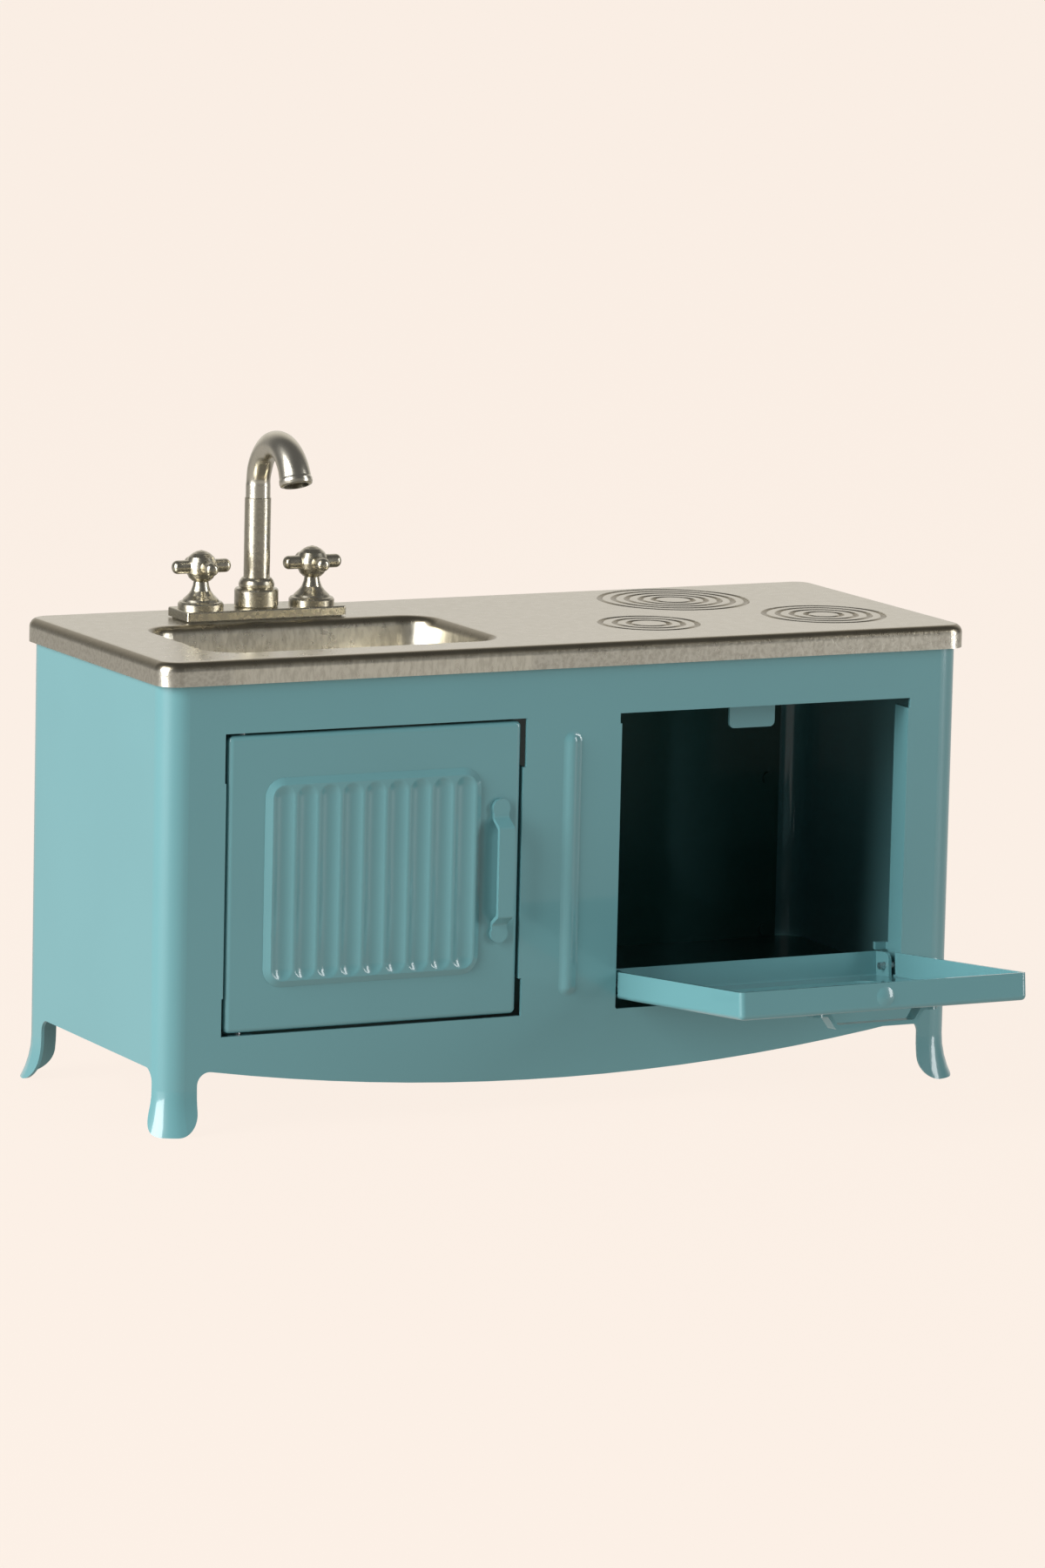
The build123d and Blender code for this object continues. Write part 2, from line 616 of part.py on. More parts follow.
def opened(shape):
    """Shape swung from the closed oven door's place to its open stop."""
    y, z = OVEN_PIVOT
    return shape.rotate(Axis((0, y, z), (1, 0, 0)), OVEN_DOOR_ANGLE)


# ---- handles and hinge pins ---------------------------------------------------------------------
def strip_handle():
    """Pressed strip handle along X, standing out towards -Y from a face at y = 0."""
    half = HANDLE_LENGTH / 2
    foot_in = half - HANDLE_PAD
    bar_in = foot_in - HANDLE_SLOPE
    stand = HANDLE_STAND
    skin = HANDLE_SHEET
    mitre = 0.35
    right = [(bar_in, -stand), (foot_in, -skin), (half, -skin), (half, 0), (foot_in - mitre, 0),
             (bar_in - mitre, skin - stand)]
    left = [(-x, y) for x, y in reversed(right)]
    profile = make_face(Polyline(*right, *left, close=True))
    strip = extrude(profile, amount=HANDLE_PAD / 2, both=True)
    bends = [edge for edge in strip.edges().filter_by(Axis.Z) if abs(edge.center().X) < half - 1]
    strip = fillet(bends, HANDLE_BEND)
    outline = Rectangle(HANDLE_LENGTH - HANDLE_PAD, HANDLE_WIDTH)
    for side in (-1, 1):
        outline += Pos(side * (half - HANDLE_PAD / 2), 0) * Circle(HANDLE_PAD / 2)
    return strip & extrude(Plane.XZ * outline, amount=2 * stand, both=True)


def handle_with_studs():
    """Strip handle with the two studs that pass through the door."""
    handle = strip_handle()
    reach = (HANDLE_LENGTH - HANDLE_PAD) / 2
    for side in (-1, 1):
        handle += rod((side * reach, -HANDLE_SHEET / 2, 0), (0, 1, 0), STUD_RADIUS - 0.02, STUD_LENGTH)
    return handle


def stud_washers():
    """Push washers on the ends of the studs, behind the door's face."""
    reach = (HANDLE_LENGTH - HANDLE_PAD) / 2
    washers = []
    for side in (-1, 1):
        disc = rod((side * reach, SHEET, 0), (0, 1, 0), 1.7, 0.35)
        disc = fillet(disc.edges().sort_by(Axis.Y)[-1], 0.15)
        washers.append(disc - rod((side * reach, 0, 0), (0, 1, 0), STUD_RADIUS, 3.0))
    return washers


def on_cupboard(shape):
    """Handle piece turned upright and set on the cupboard door."""
    x, z = cupboard_handle_place()
    return Pos(x, FRONT, z) * (Rot(0, 90, 0) * shape)


def on_oven(shape):
    """Handle piece set on the oven door, open."""
    x, z = oven_handle_place()
    return opened(Pos(x, FRONT, z) * shape)


def oven_hinge_pins():
    """One headed pin at each side of the oven door."""
    y, z = OVEN_PIVOT
    pins = []
    for x, side in ((OVEN_LEFT, 1), (OVEN_RIGHT, -1)):
        head_start = (x - side * (SHEET + 0.5), y, z)
        pin = rod(head_start, (side, 0, 0), PIN_HEAD_RADIUS, 0.5)
        pins.append(pin + rod(head_start, (side, 0, 0), PIN_RADIUS - 0.01, 4.3))
    return pins


def cupboard_hinge_pins():
    """One headed pin in each ear of the cupboard opening."""
    x, y = CUPBOARD_PIVOT
    pins = []
    for z, up in ((OPENING_BOTTOM - SHEET, 1), (OPENING_TOP + SHEET, -1)):
        head_start = (x, y, z - up * 0.25)
        pin = rod(head_start, (0, 0, up), PIN_HEAD_RADIUS, 0.25)
        pins.append(pin + rod(head_start, (0, 0, up), PIN_RADIUS - 0.01, 2.6))
    return pins


# ---- tap set ------------------------------------------------------------------------------------
def tap_spindle_places():
    """x of the left tap, the spout and the right tap."""
    return [TAP_X - TAP_SPREAD, TAP_X, TAP_X + TAP_SPREAD]


def tap_screw_places():
    """x of the two screws that hold the deck plate."""
    return [TAP_X - SCREW_SPREAD, TAP_X + SCREW_SPREAD]


def tap_plate():
    """Cast deck plate, raised off the worktop on a smaller foot."""
    low = WORKTOP_TOP + PLATE_LIFT
    middle = Pos(PLATE_X, TAP_Y, low)
    plate = middle * extrude(RectangleRounded(PLATE_LENGTH, PLATE_DEPTH, 0.5), amount=PLATE_HEIGHT)
    plate = fillet(plate.faces().sort_by(Axis.Z)[-1].edges(), 0.3)
    inset = 1.4
    plate += middle * extrude(Rectangle(PLATE_LENGTH - inset, PLATE_DEPTH - inset), amount=-PLATE_LIFT)
    for x in tap_spindle_places():
        radius = SPOUT_SPINDLE_RADIUS if x == TAP_X else SPINDLE_RADIUS
        plate -= rod((x, TAP_Y, WORKTOP_TOP - CLEAR), (0, 0, 1), radius + RUNNING_GAP, 4.0)
    for x in tap_screw_places():
        plate -= rod((x, TAP_Y, WORKTOP_TOP - CLEAR), (0, 0, 1), SCREW_RADIUS, CLEAR + SCREW_GRIP)
    return plate


def tap_screws():
    """Pan-head screws up into the deck plate from under the worktop."""
    screws = []
    for x in tap_screw_places():
        head_top = UNDERSIDE - WASHER_HEIGHT
        head = rod((x, TAP_Y, head_top), (0, 0, -1), 1.15, 0.9)
        head = fillet(head.edges().sort_by(Axis.Z)[0], 0.4)
        slot = Pos(x, TAP_Y, head_top - 0.9) * Box(3.0, 0.35, 0.6)
        shank = rod((x, TAP_Y, head_top - 0.1), (0, 0, 1), SCREW_RADIUS - 0.01, 2.5)
        screws.append(head - slot + shank)
    return screws


def tap_washers():
    """Plain washers under the screw heads."""
    washers = []
    for x in tap_screw_places():
        disc = rod((x, TAP_Y, UNDERSIDE), (0, 0, -1), 1.7, WASHER_HEIGHT)
        washers.append(disc - rod((x, TAP_Y, UNDERSIDE + CLEAR), (0, 0, -1), SCREW_RADIUS + 0.05, 3.0))
    return washers


def spout_collar():
    """Collar round the foot of the column: a drum, a groove and a smaller dome."""
    r = COLLAR_RADIUS
    h = COLLAR_HEIGHT
    inside = COLUMN_RADIUS + 0.02
    drum = [(inside, 0), (r - 0.15, 0), (r, 0.3), (r, h - 0.3), (r - 0.2, h)]
    groove = [(r - 0.8, h + 0.05), (r - 0.95, h + 0.2), (r - 0.8, h + 0.4)]
    dome = [(r - 0.75, h + 0.9), (r - 1.0, h + 1.5), (r - 1.35, h + 1.95), (inside, h + 2.1)]
    return turned([(x, z + PLATE_TOP) for x, z in drum + groove + dome], TAP_X, TAP_Y)


def spout_column():
    """Lower column, bored for the spout's spindle."""
    seam_gap = 0.1
    bore = SPOUT_SPINDLE_RADIUS + RUNNING_GAP
    height = COLUMN_HEIGHT - seam_gap
    tube = Circle(COLUMN_RADIUS) - Circle(bore)
    return Pos(TAP_X, TAP_Y, PLATE_TOP) * extrude(tube, amount=height)


def tap_base(x):
    """Round foot and waisted pedestal of one tap, bored for its spindle."""
    bore = SPINDLE_RADIUS + RUNNING_GAP
    z = PLATE_TOP
    foot = [(bore, 0), (4.25, 0), (4.25, 1.0), (3.95, 1.35), (3.5, 1.45)]
    waist = [(3.25, 1.85), (2.45, 2.6), (1.85, 3.4), (1.5, 4.4), (1.4, 5.1), (bore, 5.15)]
    return turned([(r, h + z) for r, h in foot + waist], x, TAP_Y)


def tap_handle(x):
    """Cross handle: ball hub with a soft point, four round arms, and its long spindle."""
    z = PLATE_TOP + PEDESTAL
    lower = [(0, 0), (1.7, 0.05), (2.3, 0.6), (2.75, 1.5), (2.92, 2.6)]
    upper = [(2.8, 3.6), (2.35, 4.5), (1.6, 5.15), (0.9, 5.5), (0, 5.75)]
    ball = turned([(r, h + z) for r, h in lower + upper], x, TAP_Y)
    centre = (x, TAP_Y, z + 2.7)
    for direction in ((1, 0, 0), (-1, 0, 0), (0, 1, 0), (0, -1, 0)):
        arm = rod(centre, direction, ARM_RADIUS, ARM_REACH)
        tip = arm.faces().sort_by(Axis(centre, direction))[-1]
        ball += fillet(tip.edges(), ARM_RADIUS * 0.8)
    spindle = rod((x, TAP_Y, z + 1.0), (0, 0, -1), SPINDLE_RADIUS, z + 1.0 - SPINDLE_END)
    return ball + spindle


def push_nut(x, radius):
    """Round push nut pressed on the end of a spindle."""
    disc = rod((x, TAP_Y, NUT_TOP), (0, 0, -1), radius + 1.4, 0.45)
    disc = fillet(disc.edges().sort_by(Axis.Z)[0], 0.18)
    return disc - rod((x, TAP_Y, NUT_TOP + CLEAR), (0, 0, -1), radius + 0.01, 3.0)


def neck_section(degrees):
    """Disc across the swan neck at an angle round its bend."""
    angle = radians(degrees)
    swell = max(0.0, degrees - SPOUT_SWELL) / (SPOUT_ARC - SPOUT_SWELL)
    radius = SPOUT_RADIUS + (OUTLET_RADIUS - SPOUT_RADIUS) * swell
    y = TAP_Y - SPOUT_BEND * (1 - cos(angle))
    z = SEAM + SPOUT_RISE + SPOUT_BEND * sin(angle)
    return Plane(origin=(TAP_X, y, z), x_dir=(1, 0, 0), z_dir=(0, -sin(angle), cos(angle))), radius


def spout():
    """Swan neck: straight rise, swelling bend over to the front, lipped outlet and long spindle."""
    steps = 9
    discs = []
    for step in range(steps + 1):
        plane, radius = neck_section(SPOUT_ARC * step / steps)
        discs.append(plane * Circle(radius))
    neck = rod((TAP_X, TAP_Y, SEAM), (0, 0, 1), SPOUT_RADIUS, SPOUT_RISE) + loft(discs)
    outlet, radius = neck_section(SPOUT_ARC)
    lip = [(0, 0), (radius, 0), (radius + 0.15, 0.4), (radius + 0.15, 0.9), (radius, 1.35),
           (radius - 0.35, 1.5), (0, 1.5)]
    neck += outlet.location * turned(lip, 0, 0)
    mouth_radius = radius - 0.65
    neck -= outlet.location * extrude(Pos(0, 0, 2.0) * Circle(mouth_radius), amount=-4.0)
    spindle_start = SEAM + 0.5
    spindle = rod((TAP_X, TAP_Y, spindle_start), (0, 0, -1), SPOUT_SPINDLE_RADIUS,
                  spindle_start - SPINDLE_END)
    return neck + spindle


# ---- assembly -----------------------------------------------------------------------------------
def build():
    """All sub-parts by node name, about the cabinet's own centre."""
    left_tap, _, right_tap = tap_spindle_places()
    handle = handle_with_studs()
    washers = stud_washers()
    return {
        "cabinet_shell": [cabinet_shell()],
        "back_panel": [back_panel()],
        "back_panel_rivets": back_panel_rivets(),
        "floor_panel": [floor_panel()],
        "countertop": [countertop()],
        "oven_hinge_pins": oven_hinge_pins(),
        "cupboard_hinge_pins": cupboard_hinge_pins(),
        "cupboard_door": [cupboard_door()],
        "cupboard_handle": [on_cupboard(handle)],
        "cupboard_handle_washers": [on_cupboard(w) for w in washers],
        "oven_door": [opened(closed_oven_door())],
        "oven_handle": [on_oven(handle)],
        "oven_handle_washers": [on_oven(w) for w in washers],
        "tap_plate": [tap_plate()],
        "tap_screws": tap_screws(),
        "tap_washers": tap_washers(),
        "spout_collar": [spout_collar()],
        "spout_column": [spout_column()],
        "left_tap_base": [tap_base(left_tap)],
        "right_tap_base": [tap_base(right_tap)],
        "left_tap_handle": [tap_handle(left_tap)],
        "right_tap_handle": [tap_handle(right_tap)],
        "left_tap_push_nut": [push_nut(left_tap, SPINDLE_RADIUS)],
        "right_tap_push_nut": [push_nut(right_tap, SPINDLE_RADIUS)],
        "spout": [spout()],
        "spout_push_nut": [push_nut(TAP_X, SPOUT_SPINDLE_RADIUS)],
    }


def grounded(nodes):
    """Nodes moved so that the origin is on the floor, under the middle of the outline."""
    boxes = [shape.bounding_box() for shapes in nodes.values() for shape in shapes]
    y_min = min(box.min.Y for box in boxes)
    y_max = max(box.max.Y for box in boxes)
    move = Pos(0, -(y_min + y_max) / 2, -min(box.min.Z for box in boxes))
    return {name: [move * shape for shape in shapes] for name, shapes in nodes.items()}, move


NODES, GROUND_MOVE = grounded(build())

os.makedirs("parts", exist_ok=True)
for node, shapes in NODES.items():
    solids = [solid for shape in shapes for solid in shape.solids()]
    whole = solids[0] if len(solids) == 1 else Compound(solids)
    export_step(whole, f"parts/{node}.step")
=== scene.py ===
import math

import bpy
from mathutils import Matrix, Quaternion, Vector


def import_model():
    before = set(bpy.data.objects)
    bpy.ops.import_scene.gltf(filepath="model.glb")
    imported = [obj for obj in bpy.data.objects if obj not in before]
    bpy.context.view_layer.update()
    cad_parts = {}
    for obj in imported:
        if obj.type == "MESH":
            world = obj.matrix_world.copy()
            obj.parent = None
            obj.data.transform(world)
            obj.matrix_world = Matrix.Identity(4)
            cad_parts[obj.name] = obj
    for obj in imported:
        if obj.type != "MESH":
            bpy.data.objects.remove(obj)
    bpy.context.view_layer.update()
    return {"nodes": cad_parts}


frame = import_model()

NODES = frame["nodes"]

# The camera stands to the left of the front, a little above the worktop.
CAMERA_AZIMUTH = -26.72      # degrees round +Z, 0 is straight in front and -90 the left side
CAMERA_ELEVATION = 9.21      # degrees above the horizon
CAMERA_DISTANCE = 1.466
CAMERA_TARGET = Vector((0.00566, 0.02325, 0.0550))
CAMERA_ROLL = 1.31           # degrees, the picture leans clockwise
LENS = 180.0                 # mm
SENSOR = 36.0                # mm, along the picture's long side
FARTHEST_SEEN = 100.0        # m

# Colours, as linear red, green and blue.
PALE = (0.973, 0.871, 0.791)
ENAMEL = (0.150, 0.366, 0.392)
# The next colour is painted shade for the inside of the cabinet, much darker than its enamel.
ENAMEL_PAINTED_SHADE = (0.020, 0.110, 0.095)
NICKEL = (0.620, 0.585, 0.500)
RIM_NICKEL = (0.780, 0.740, 0.640)
BASIN_NICKEL = (0.920, 0.870, 0.740)
# Dark nickel: the colour of the grain's pits, and painted shade over the band just under the top.
PIT_DULL_AND_PAINTED_SHADE = (0.190, 0.155, 0.090)
CAST_NICKEL = (0.600, 0.560, 0.455)
SPOUT_NICKEL = (0.700, 0.660, 0.560)
ZINC = (0.560, 0.570, 0.580)

# Places on the object. Lengths are in metres from here on.
WORKTOP_TOP = 0.0862
BACK_PANEL_Y = 0.05375       # inside the back panel's thickness
SINK_X = -0.0390             # middle of the basin
SINK_HALF = 0.0300           # half the stretch of worktop that has the basin finish

# The low and high ends of a noise's middle part, which a ramp spreads over its full reach.
CLOUDS = (0.30, 0.70)
PITS = (0.35, 0.60)
PITS_ROUGHNESS = (0.35, 0.65)

ENAMEL_CLOUD = 0.030         # size of the faint clouds in its colour
ENAMEL_CLOUD_SHARE = 0.015   # how far they go from that colour, each way
ENAMEL_RIPPLE = 0.0016
ENAMEL_RIPPLE_DEPTH = 0.000002
ENAMEL_ROUGHNESS = 0.36
GLOSS_ROUGHNESS = 0.07
HANDLE_EDGE = 0.00018        # width of the rounding on the handles' edges

# Pairs of depths under the worktop's top: a share is 0 at the first depth and 1 at the second.
UNDER_TOP = (0.0003, 0.0012)
# The next two bound the band of painted shade on the hob grooves and the rolled edges.
PAINTED_SHADE_START = (0.00003, 0.00016)
PAINTED_SHADE_END = (0.0020, 0.0009)
SINK_BLUR = 0.001            # half the width of the change at the basin's ends
PEBBLE = 0.0008
STREAK = 0.0009
STREAK_SCALE = (1.0, 1.0, 0.35)
SATIN = 0.0007
PEBBLE_SHARE = 5.0
SATIN_SHARE = 0.25
WORKTOP_RELIEF = 0.000007
PLATE_CLOUD = 0.002
PLATE_ROUGHNESS = (0.27, 0.31)
RIM_DULLNESS = 0.22
PAINTED_SHADE_SHARE = 0.75

# Plated pieces. Dullness is how much of the colour the pits keep.
CAST_FINISH = dict(grain=0.0009, depth=0.000008, roughness=0.27, dullness=0.86)
SPOUT_FINISH = dict(grain=0.0040, depth=0.000004, roughness=0.26, dullness=0.94)
ZINC_FINISH = dict(grain=0.0005, depth=0.00001, roughness=0.30, dullness=0.9)
PIT_ROUGHENING = 1.15
CREST_ROUGHENING = 0.9

FLOOR_GLOW = 0.975
FLOOR_SHADE = 0.03
FLOOR_SIZE = 40.0
FLOOR_LEVEL = -0.00002       # just under the feet

ROOM_DARK = (0.12, 0.12, 0.12)
ROOM_BEHIND = (0.82, 0.79, 0.74)
ROOM_LOW = (0.46, 0.44, 0.41)
BEHIND_ELEVATION = 8         # degrees, the middle of the room's pale part
BEHIND_EDGES = (0.50, 0.95)  # cosines of the angles from that middle
LOW_EDGES = (0.02, -0.22)    # heights in a unit direction

# Softboxes stand at an azimuth and elevation in degrees, as the camera does. Power is in watts.
LEFT_SOFTBOX = dict(azimuth=-80, elevation=20, distance=1.2, width=0.76, height=1.00, power=21.0)
RIGHT_SOFTBOX = dict(azimuth=52, elevation=12, distance=1.5, width=0.34, height=1.00, power=8.0)


def direction(azimuth, elevation):
    """The unit vector from the object towards a place round it, as the camera's angles are given."""
    a, e = math.radians(azimuth), math.radians(elevation)
    return Vector((math.sin(a) * math.cos(e), -math.cos(a) * math.cos(e), math.sin(e)))


# ---------------------------------------------------------------- materials

class Nodes:
    """A small helper that adds nodes to a tree and links their sockets."""

    def __init__(self, tree):
        self.tree = tree
        tree.nodes.clear()

    def add(self, kind, settings=None, **inputs):
        """A new node. An input's name has _ where Blender's has a space."""
        node = self.tree.nodes.new(kind)
        for name, value in (settings or {}).items():
            setattr(node, name, value)
        for name, value in inputs.items():
            self.set(node, name.replace("_", " "), value)
        return node

    def set(self, node, name, value):
        """Give an input, by name or by number, a value or the output that feeds it."""
        socket = node.inputs[int(name)] if name.isdigit() else node.inputs[name]
        if isinstance(value, bpy.types.NodeSocket):
            self.tree.links.new(value, socket)
        else:
            socket.default_value = value


def new_material(name):
    """An empty material and the helper that fills its tree."""
    material = bpy.data.materials.new(name)
    material.use_nodes = True
    return material, Nodes(material.node_tree)


def rgba(colour):
    return (*colour, 1.0)


def noise(n, place, wavelength, detail=2.0, roughness=0.5):
    """Noise whose features are about one wavelength, in metres, across."""
    made = n.add("ShaderNodeTexNoise", Vector=place, Scale=1.0 / wavelength, Detail=detail)
    n.set(made, "Roughness", roughness)
    return made.outputs["Fac"]


def stretched(n, place, scale):
    """The place, scaled along each axis, so that noise in it runs in streaks."""
    made = n.add("ShaderNodeVectorMath", {"operation": "MULTIPLY"})
    n.set(made, "0", place)
    n.set(made, "1", scale)
    return made.outputs[0]


def ramp(n, value, low, high, to_low=0.0, to_high=1.0):
    """value, spread so that low becomes to_low and high becomes to_high."""
    made = n.add("ShaderNodeMapRange", {"interpolation_type": "SMOOTHSTEP"}, Value=value)
    for name, number in zip(("From Min", "From Max", "To Min", "To Max"), (low, high, to_low, to_high)):
        n.set(made, name, number)
    return made.outputs["Result"]


def maths(n, operation, first, second=0.0):
    """One sum on two numbers. An operation on one number leaves the second out."""
    made = n.add("ShaderNodeMath", {"operation": operation})
    n.set(made, "0", first)
    n.set(made, "1", second)
    return made.outputs[0]


def bump(n, height, distance):
    made = n.add("ShaderNodeBump", Height=height, Distance=distance, Strength=1.0)
    return made.outputs["Normal"]


def mix_number(n, share, first, second):
    """The first number where share is 0 and the second where it is 1."""
    made = n.add("ShaderNodeMix", {"data_type": "FLOAT"})
    n.set(made, "0", share)
    n.set(made, "2", first)
    n.set(made, "3", second)
    return made.outputs[0]


def mix_colour(n, share, first, second):
    """The first colour where share is 0 and the second where it is 1."""
    made = n.add("ShaderNodeMix", {"data_type": "RGBA", "blend_type": "MIX"})
    n.set(made, "0", share)
    n.set(made, "6", first if isinstance(first, bpy.types.NodeSocket) else rgba(first))
    n.set(made, "7", second if isinstance(second, bpy.types.NodeSocket) else rgba(second))
    return made.outputs[2]


def finish_material(n, shader):
    output = n.add("ShaderNodeOutputMaterial")
    n.set(output, "Surface", shader.outputs[0])


def enamel(name, colour, painted_shade_colour=None):
    """Even dusty-blue enamel under a clear gloss, with the faintest ripple.

    A second colour, painted shade for the dark inside of the cabinet, shows on everything in front of the
    back panel's middle.
    """
    material, n = new_material(name)
    place = n.add("ShaderNodeTexCoord").outputs["Object"]
    shade = ramp(n, noise(n, place, ENAMEL_CLOUD), *CLOUDS)
    darker = [c * (1 - ENAMEL_CLOUD_SHARE) for c in colour]
    lighter = [c * (1 + ENAMEL_CLOUD_SHARE) for c in colour]
    tint = mix_colour(n, shade, darker, lighter)
    if painted_shade_colour:
        depth = n.add("ShaderNodeSeparateXYZ", Vector=place).outputs["Y"]
        # Painted shade: the dark colour on everything in front of the back panel's middle.
        tint = mix_colour(n, maths(n, "GREATER_THAN", depth, BACK_PANEL_Y), painted_shade_colour, tint)
    ripple = bump(n, noise(n, place, ENAMEL_RIPPLE, 1.0), ENAMEL_RIPPLE_DEPTH)
    shader = n.add("ShaderNodeBsdfPrincipled", Base_Color=tint, Normal=ripple)
    n.set(shader, "Roughness", ENAMEL_ROUGHNESS)
    n.set(shader, "Coat Weight", 1.0)
    n.set(shader, "Coat Roughness", GLOSS_ROUGHNESS)
    n.set(shader, "Coat Normal", ripple)
    finish_material(n, shader)
    return material


def under_top(n, height, first, second):
    """0 at the first depth under the worktop's top and 1 at the second."""
    return ramp(n, height, WORKTOP_TOP - first, WORKTOP_TOP - second)


def worktop_shares(n, place):
    """What lies under the flat top, what of that is in line with the basin, and the band of painted shade.

    The second share takes in the rim in front of the basin and behind it as well.
    """
    axes = n.add("ShaderNodeSeparateXYZ", Vector=place).outputs
    below = under_top(n, axes["Z"], *UNDER_TOP)
    from_sink = maths(n, "ABSOLUTE", maths(n, "SUBTRACT", axes["X"], SINK_X))
    by_sink = ramp(n, from_sink, SINK_HALF + SINK_BLUR, SINK_HALF - SINK_BLUR)
    inside = maths(n, "MULTIPLY", by_sink, below)
    start = under_top(n, axes["Z"], *PAINTED_SHADE_START)
    end = under_top(n, axes["Z"], *PAINTED_SHADE_END)
    return below, inside, maths(n, "MULTIPLY", start, end)


def worktop_relief(n, place, grain, below):
    """A fine satin everywhere, and the grain under the flat top."""
    satin = noise(n, place, SATIN, 3.0, 0.6)
    depth = maths(n, "MULTIPLY", maths(n, "SUBTRACT", grain, 0.5), below)
    grained = maths(n, "MULTIPLY", depth, PEBBLE_SHARE)
    return maths(n, "ADD", grained, maths(n, "MULTIPLY", satin, SATIN_SHARE))


def worktop_colour(n, grain, below, inside, painted_shade_band):
    """Nickel on top, brighter under it and dull in the grain's pits, and painted shade over the band."""
    bright = mix_colour(n, inside, RIM_NICKEL, BASIN_NICKEL)
    dull = mix_colour(n, RIM_DULLNESS, bright, PIT_DULL_AND_PAINTED_SHADE)
    grained = mix_colour(n, ramp(n, grain, *PITS), dull, bright)
    plate = mix_colour(n, below, NICKEL, grained)
    # Painted shade over the band just under the top.
    return mix_colour(n, maths(n, "MULTIPLY", painted_shade_band, PAINTED_SHADE_SHARE), plate, PIT_DULL_AND_PAINTED_SHADE)


def worktop_metal():
    """Nickel plate: satin on the flat top, pebbled on the rim, streaked down the basin's walls.

    A band of painted shade runs just under the top and darkens the hob grooves and the rolled edges.
    """
    material, n = new_material("satin_nickel_look")
    place = n.add("ShaderNodeTexCoord").outputs["Object"]
    below, inside, painted_shade_band = worktop_shares(n, place)
    pebbles = noise(n, place, PEBBLE, 3.0, 0.6)
    streaks = noise(n, stretched(n, place, STREAK_SCALE), STREAK, 3.0, 0.6)
    grain = mix_number(n, inside, pebbles, streaks)
    normal = bump(n, worktop_relief(n, place, grain, below), WORKTOP_RELIEF)
    rough = ramp(n, noise(n, place, PLATE_CLOUD, 3.0), *CLOUDS, *PLATE_ROUGHNESS)
    colour = worktop_colour(n, grain, below, inside, painted_shade_band)
    shader = n.add("ShaderNodeBsdfPrincipled", Base_Color=colour, Roughness=rough, Normal=normal)
    n.set(shader, "Metallic", 1.0)
    finish_material(n, shader)
    return material


def cast_metal(name, colour, grain, depth, roughness, dullness):
    """Plated metal with a fine grain: pitted, and darker and rougher in the pits."""
    material, n = new_material(name)
    place = n.add("ShaderNodeTexCoord").outputs["Object"]
    coarse = noise(n, place, grain, 1.0)
    normal = bump(n, coarse, depth)
    rough = ramp(n, coarse, *PITS_ROUGHNESS, roughness * PIT_ROUGHENING, roughness * CREST_ROUGHENING)
    pits = ramp(n, coarse, *PITS)
    tint = mix_colour(n, pits, [c * dullness for c in colour], colour)
    shader = n.add("ShaderNodeBsdfPrincipled", Base_Color=tint, Roughness=rough, Normal=normal)
    n.set(shader, "Metallic", 1.0)
    finish_material(n, shader)
    return material


def soften_edges(nodes, width):
    """A narrow rounding of sharp edges, as enamel leaves them."""
    for name in nodes:
        made = NODES[name].modifiers.new("soft_edges", "BEVEL")
        made.width = width
        made.segments = 2
        made.limit_method = "ANGLE"


def dress(nodes, material):
    """Give each of these nodes this material alone."""
    for name in nodes:
        NODES[name].data.materials.clear()
        NODES[name].data.materials.append(material)


# ---------------------------------------------------------------- studio

def floor_material():
    """A pale, plain floor. Only its upper side shows, so that the object can be seen from below."""
    material, n = new_material("pale_floor")
    below = n.add("ShaderNodeNewGeometry").outputs["Backfacing"]
    matt = n.add("ShaderNodeBsdfDiffuse", Color=rgba([c * FLOOR_SHADE for c in PALE]))
    glow = n.add("ShaderNodeEmission", Color=rgba(PALE), Strength=FLOOR_GLOW)
    shown = n.add("ShaderNodeAddShader")
    n.set(shown, "0", glow.outputs[0])
    n.set(shown, "1", matt.outputs[0])
    clear = n.add("ShaderNodeBsdfTransparent")
    by_side = n.add("ShaderNodeMixShader", Fac=below)
    n.set(by_side, "1", shown.outputs[0])
    n.set(by_side, "2", clear.outputs[0])
    finish_material(n, by_side)
    return material


def floor():
    """A wide plane just under the feet. It lights nothing, casts no shadow and isn't reflected."""
    bpy.ops.mesh.primitive_plane_add(size=FLOOR_SIZE, location=(0, 0, FLOOR_LEVEL))
    made = bpy.context.object
    made.name = "floor"
    made.data.materials.append(floor_material())
    made.visible_diffuse = False
    made.visible_glossy = False
    made.visible_shadow = False


def world():
    """The room: pale from behind the object and from the floor, dark overhead and in front."""
    made = bpy.data.worlds.new("studio")
    bpy.context.scene.world = made
    made.use_nodes = True
    n = Nodes(made.node_tree)
    seen = n.add("ShaderNodeLightPath").outputs["Is Camera Ray"]
    place = n.add("ShaderNodeTexCoord").outputs["Generated"]
    behind = n.add("ShaderNodeVectorMath", {"operation": "DOT_PRODUCT"})
    n.set(behind, "0", place)
    n.set(behind, "1", direction(CAMERA_AZIMUTH + 180, BEHIND_ELEVATION))
    share = ramp(n, behind.outputs["Value"], *BEHIND_EDGES)
    room = mix_colour(n, share, ROOM_DARK, ROOM_BEHIND)
    height = n.add("ShaderNodeSeparateXYZ", Vector=place).outputs["Z"]
    low = ramp(n, height, *LOW_EDGES)
    colour = mix_colour(n, low, room, ROOM_LOW)
    shown = mix_colour(n, seen, colour, PALE)
    back = n.add("ShaderNodeBackground", Color=shown)
    output = n.add("ShaderNodeOutputWorld")
    n.set(output, "Surface", back.outputs[0])


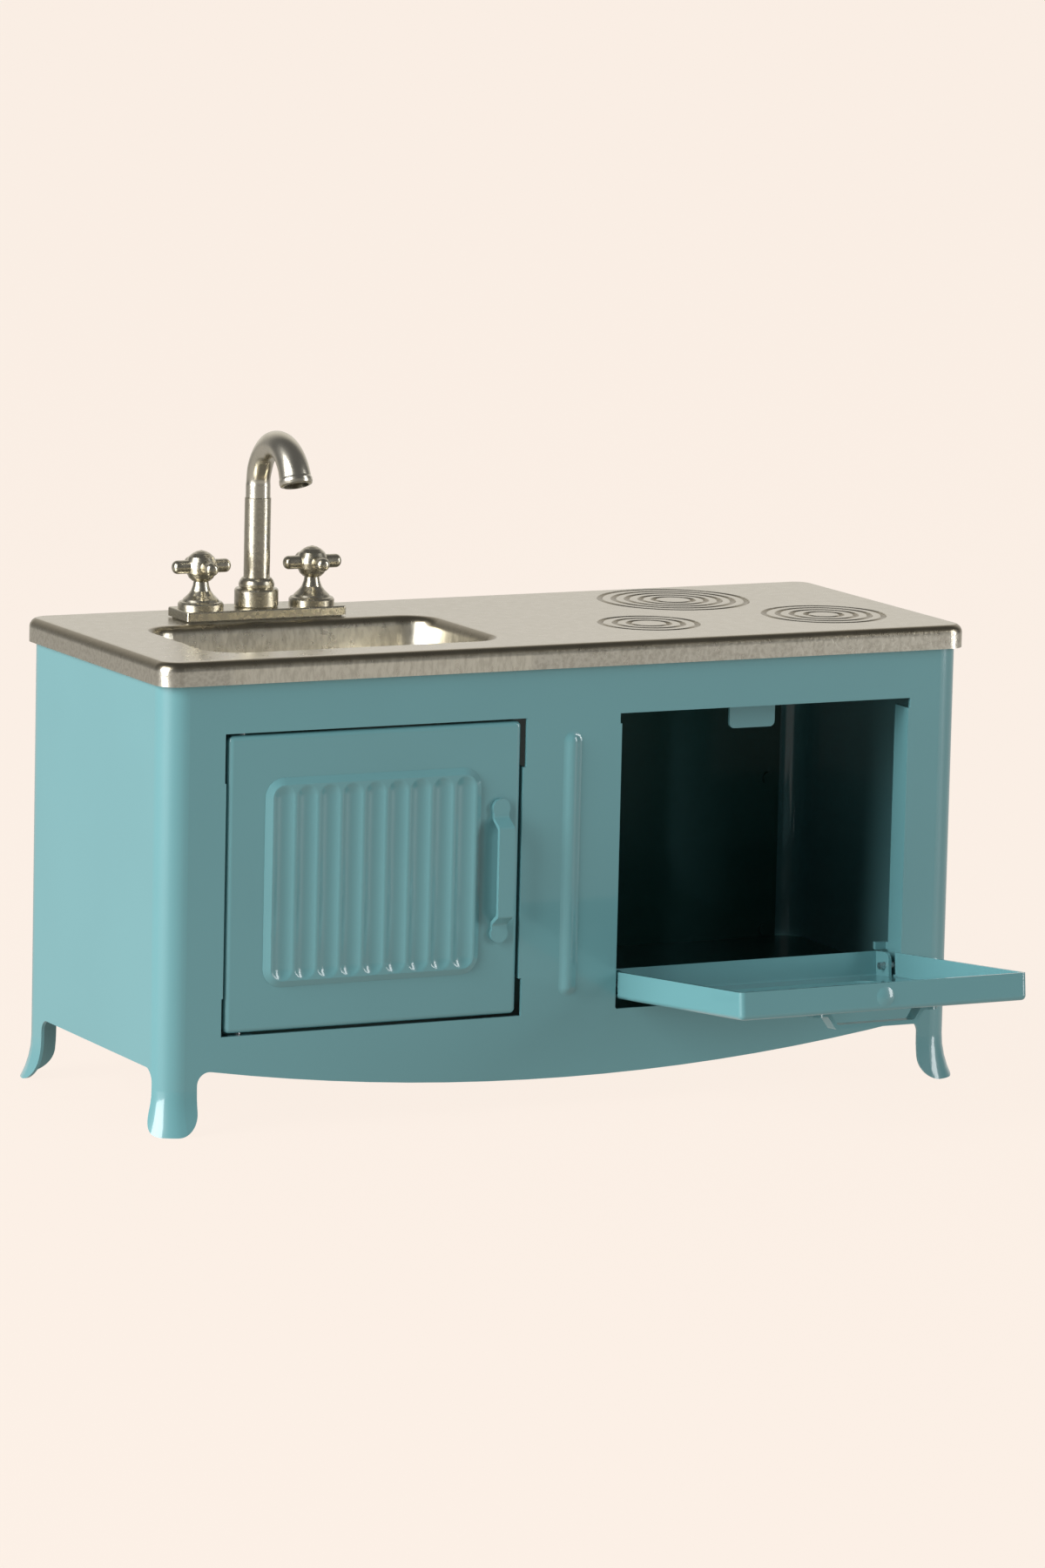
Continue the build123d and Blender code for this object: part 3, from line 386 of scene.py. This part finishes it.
def softbox(name, azimuth, elevation, distance, width, height, power):
    """A white area light that faces the camera's target. The camera doesn't see it."""
    data = bpy.data.lights.new(name, "AREA")
    data.shape = "RECTANGLE"
    data.size = width
    data.size_y = height
    data.energy = power
    lamp = bpy.data.objects.new(name, data)
    bpy.context.scene.collection.objects.link(lamp)
    away = direction(azimuth, elevation)
    lamp.location = CAMERA_TARGET + away * distance
    lamp.rotation_euler = away.to_track_quat("Z", "Y").to_euler()
    lamp.visible_camera = False


def camera():
    data = bpy.data.cameras.new("camera")
    data.sensor_width = SENSOR
    data.lens = LENS
    data.clip_end = FARTHEST_SEEN
    made = bpy.data.objects.new("camera", data)
    bpy.context.scene.collection.objects.link(made)
    back = direction(CAMERA_AZIMUTH, CAMERA_ELEVATION)
    made.location = CAMERA_TARGET + back * CAMERA_DISTANCE
    made.rotation_mode = "QUATERNION"
    made.rotation_quaternion = back.to_track_quat("Z", "Y") @ Quaternion((0, 0, 1), math.radians(CAMERA_ROLL))
    bpy.context.scene.camera = made


def studio():
    floor()
    world()
    camera()
    softbox("left_softbox", **LEFT_SOFTBOX)
    softbox("right_softbox", **RIGHT_SOFTBOX)
    bpy.context.scene.view_settings.view_transform = "Standard"


def inherited(slot):
    """The CAD nodes that came with the material of one slot."""
    return [name for name in NODES if NODES[name].data.materials[0].name.startswith(slot)]


studio()
ENAMELLED = inherited("blue_enamel")
ZINC_PLATED = inherited("zinc_steel")
TAPS = [f"{side}_tap_{part}" for side in ("left", "right") for part in ("base", "handle")]
dress(ENAMELLED, enamel("blue_enamel_look", ENAMEL))
# The floor panel and the back panel's inner face get the painted shade colour.
dress(["floor_panel"], enamel("oven_enamel_look", ENAMEL_PAINTED_SHADE))
dress(["back_panel", "back_panel_rivets"], enamel("back_enamel_look", ENAMEL, ENAMEL_PAINTED_SHADE))
dress(["countertop"], worktop_metal())
dress(["tap_plate", "spout_collar", "spout_column"] + TAPS,
      cast_metal("cast_nickel_look", CAST_NICKEL, **CAST_FINISH))
dress(["spout"], cast_metal("spout_nickel_look", SPOUT_NICKEL, **SPOUT_FINISH))
dress(ZINC_PLATED, cast_metal("zinc_look", ZINC, **ZINC_FINISH))

soften_edges(["cupboard_handle", "oven_handle"], HANDLE_EDGE)
